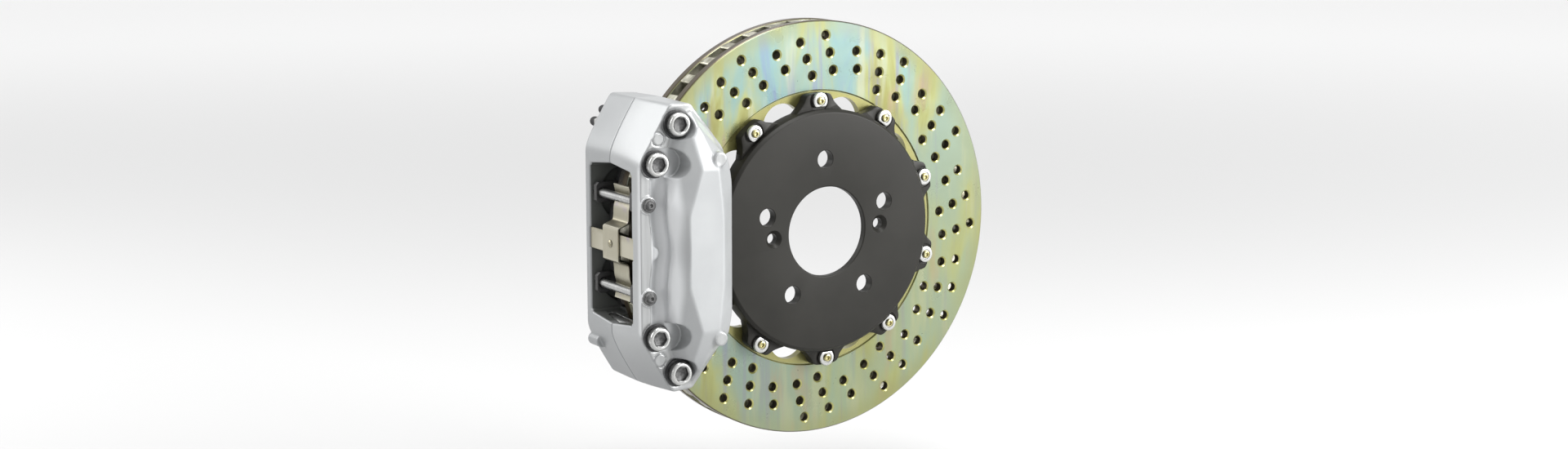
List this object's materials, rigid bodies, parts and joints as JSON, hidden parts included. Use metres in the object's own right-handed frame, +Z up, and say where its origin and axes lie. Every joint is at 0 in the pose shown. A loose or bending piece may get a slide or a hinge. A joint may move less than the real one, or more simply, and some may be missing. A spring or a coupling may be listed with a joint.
{
  "type": "brake caliper with disc",
  "caption": "Fixed brake caliper with opposed pistons over a vented, drilled disc ring on a black hat, pads visible through the caliper's window.",
  "frame": {"origin": "centre of the hat's hub face, where the wheel axis meets it", "axes": "+Y along the wheel axis towards the car, +Z up, the caliper on the -X side"},
  "size_m": [0.341, 0.136, 0.328],
  "materials": {
    "zinc_plate": "glossy passivated zinc with pale green, yellow and lilac streaks",
    "hat_black": "black anodised, satin",
    "caliper_silver": "silver-grey paint over castings, satin",
    "bright_steel": "zinc plated, bright",
    "rivet_gold": "yellow zinc plated",
    "piston_steel": "hard anodised, smooth",
    "rubber_black": "matt rubber",
    "washer_black": "black oxide",
    "champagne_plate": "champagne zinc-nickel plated",
    "pad_black": "black paint, satin",
    "lining_grey": "rough friction compound"
  },
  "bodies": {
    "caliper": {"caliper_outboard_half": "caliper_silver", "caliper_inboard_half": "caliper_silver", "bridge_bolt_1": "bright_steel", "bolt_washer_1": "washer_black", "bridge_bolt_2": "bright_steel", "bolt_washer_2": "washer_black", "bridge_bolt_3": "bright_steel", "bolt_washer_3": "washer_black", "bridge_bolt_4": "bright_steel", "bolt_washer_4": "washer_black", "crossover_seal_1": "rubber_black", "crossover_seal_2": "rubber_black", "piston_seal_outboard_upper": "rubber_black", "dust_boot_outboard_upper": "rubber_black", "piston_seal_outboard_lower": "rubber_black", "dust_boot_outboard_lower": "rubber_black", "piston_seal_inboard_upper": "rubber_black", "dust_boot_inboard_upper": "rubber_black", "piston_seal_inboard_lower": "rubber_black", "dust_boot_inboard_lower": "rubber_black", "pad_pin_upper": "bright_steel", "pad_pin_lower": "bright_steel", "cross_strap": "champagne_plate", "spring_clip": "champagne_plate", "clip_rivet": "champagne_plate", "inlet_plug": "bright_steel"},
    "disc_hub": {"disc_hat": "hat_black", "drive_bobbin_1": "bright_steel", "drive_bobbin_2": "bright_steel", "drive_bobbin_3": "bright_steel", "drive_bobbin_4": "bright_steel", "drive_bobbin_5": "bright_steel", "drive_bobbin_6": "bright_steel", "drive_bobbin_7": "bright_steel", "drive_bobbin_8": "bright_steel", "drive_bobbin_9": "bright_steel", "drive_bobbin_10": "bright_steel", "bobbin_rivet_1": "rivet_gold", "bobbin_rivet_2": "rivet_gold", "bobbin_rivet_3": "rivet_gold", "bobbin_rivet_4": "rivet_gold", "bobbin_rivet_5": "rivet_gold", "bobbin_rivet_6": "rivet_gold", "bobbin_rivet_7": "rivet_gold", "bobbin_rivet_8": "rivet_gold", "bobbin_rivet_9": "rivet_gold", "bobbin_rivet_10": "rivet_gold"},
    "friction_ring": {"disc_ring": "zinc_plate"},
    "outboard_pad": {"pad_plate_outboard": "pad_black", "pad_lining_outboard": "lining_grey"},
    "inboard_pad": {"pad_plate_inboard": "pad_black", "pad_lining_inboard": "lining_grey"},
    "outboard_piston_upper": {"piston_outboard_upper": "piston_steel"},
    "outboard_piston_lower": {"piston_outboard_lower": "piston_steel"},
    "inboard_piston_upper": {"piston_inboard_upper": "piston_steel"},
    "inboard_piston_lower": {"piston_inboard_lower": "piston_steel"},
    "bleeder_inner": {"bleed_screw_inner": "bright_steel", "bleed_cap_inner": "rubber_black"},
    "bleeder_outer": {"bleed_screw_outer": "bright_steel", "bleed_cap_outer": "rubber_black"}
  },
  "joints": [
    {"name": "disc_spin", "type": "hinge", "parent": "caliper", "child": "disc_hub", "pos_m": [0, 0, 0], "axis": [0, 1, 0], "continuous": true},
    {"name": "ring_float", "type": "slide", "parent": "disc_hub", "child": "friction_ring", "axis": [0, 1, 0], "range_m": [-0.00015, 0.00015]},
    {"name": "outboard_pad_slide", "type": "slide", "parent": "caliper", "child": "outboard_pad", "axis": [0, 1, 0], "range_m": [-0.0011, 0.00034]},
    {"name": "inboard_pad_slide", "type": "slide", "parent": "caliper", "child": "inboard_pad", "axis": [0, -1, 0], "range_m": [-0.0011, 0.00034]},
    {"name": "outboard_piston_upper_slide", "type": "slide", "parent": "caliper", "child": "outboard_piston_upper", "axis": [0, 1, 0], "range_m": [-0.0011, 0.00034]},
    {"name": "outboard_piston_lower_slide", "type": "slide", "parent": "caliper", "child": "outboard_piston_lower", "axis": [0, 1, 0], "range_m": [-0.0011, 0.00034]},
    {"name": "inboard_piston_upper_slide", "type": "slide", "parent": "caliper", "child": "inboard_piston_upper", "axis": [0, -1, 0], "range_m": [-0.0011, 0.00034]},
    {"name": "inboard_piston_lower_slide", "type": "slide", "parent": "caliper", "child": "inboard_piston_lower", "axis": [0, -1, 0], "range_m": [-0.0011, 0.00034]},
    {"name": "bleed_screw_inner_turn", "type": "hinge", "parent": "caliper", "child": "bleeder_inner", "pos_m": [-0.16, 0.063, 0.089], "axis": [0, 1, 0], "range_deg": [0, 180]},
    {"name": "bleed_screw_outer_turn", "type": "hinge", "parent": "caliper", "child": "bleeder_outer", "pos_m": [-0.1525, 0.063, 0.0975], "axis": [0, 1, 0], "range_deg": [0, 180]}
  ],
  "couplings": [
    {"joint": "inboard_pad_slide", "follows": "outboard_pad_slide", "ratio": 1},
    {"joint": "outboard_piston_upper_slide", "follows": "outboard_pad_slide", "ratio": 1},
    {"joint": "outboard_piston_lower_slide", "follows": "outboard_pad_slide", "ratio": 1},
    {"joint": "inboard_piston_upper_slide", "follows": "outboard_pad_slide", "ratio": 1},
    {"joint": "inboard_piston_lower_slide", "follows": "outboard_pad_slide", "ratio": 1}
  ]
}
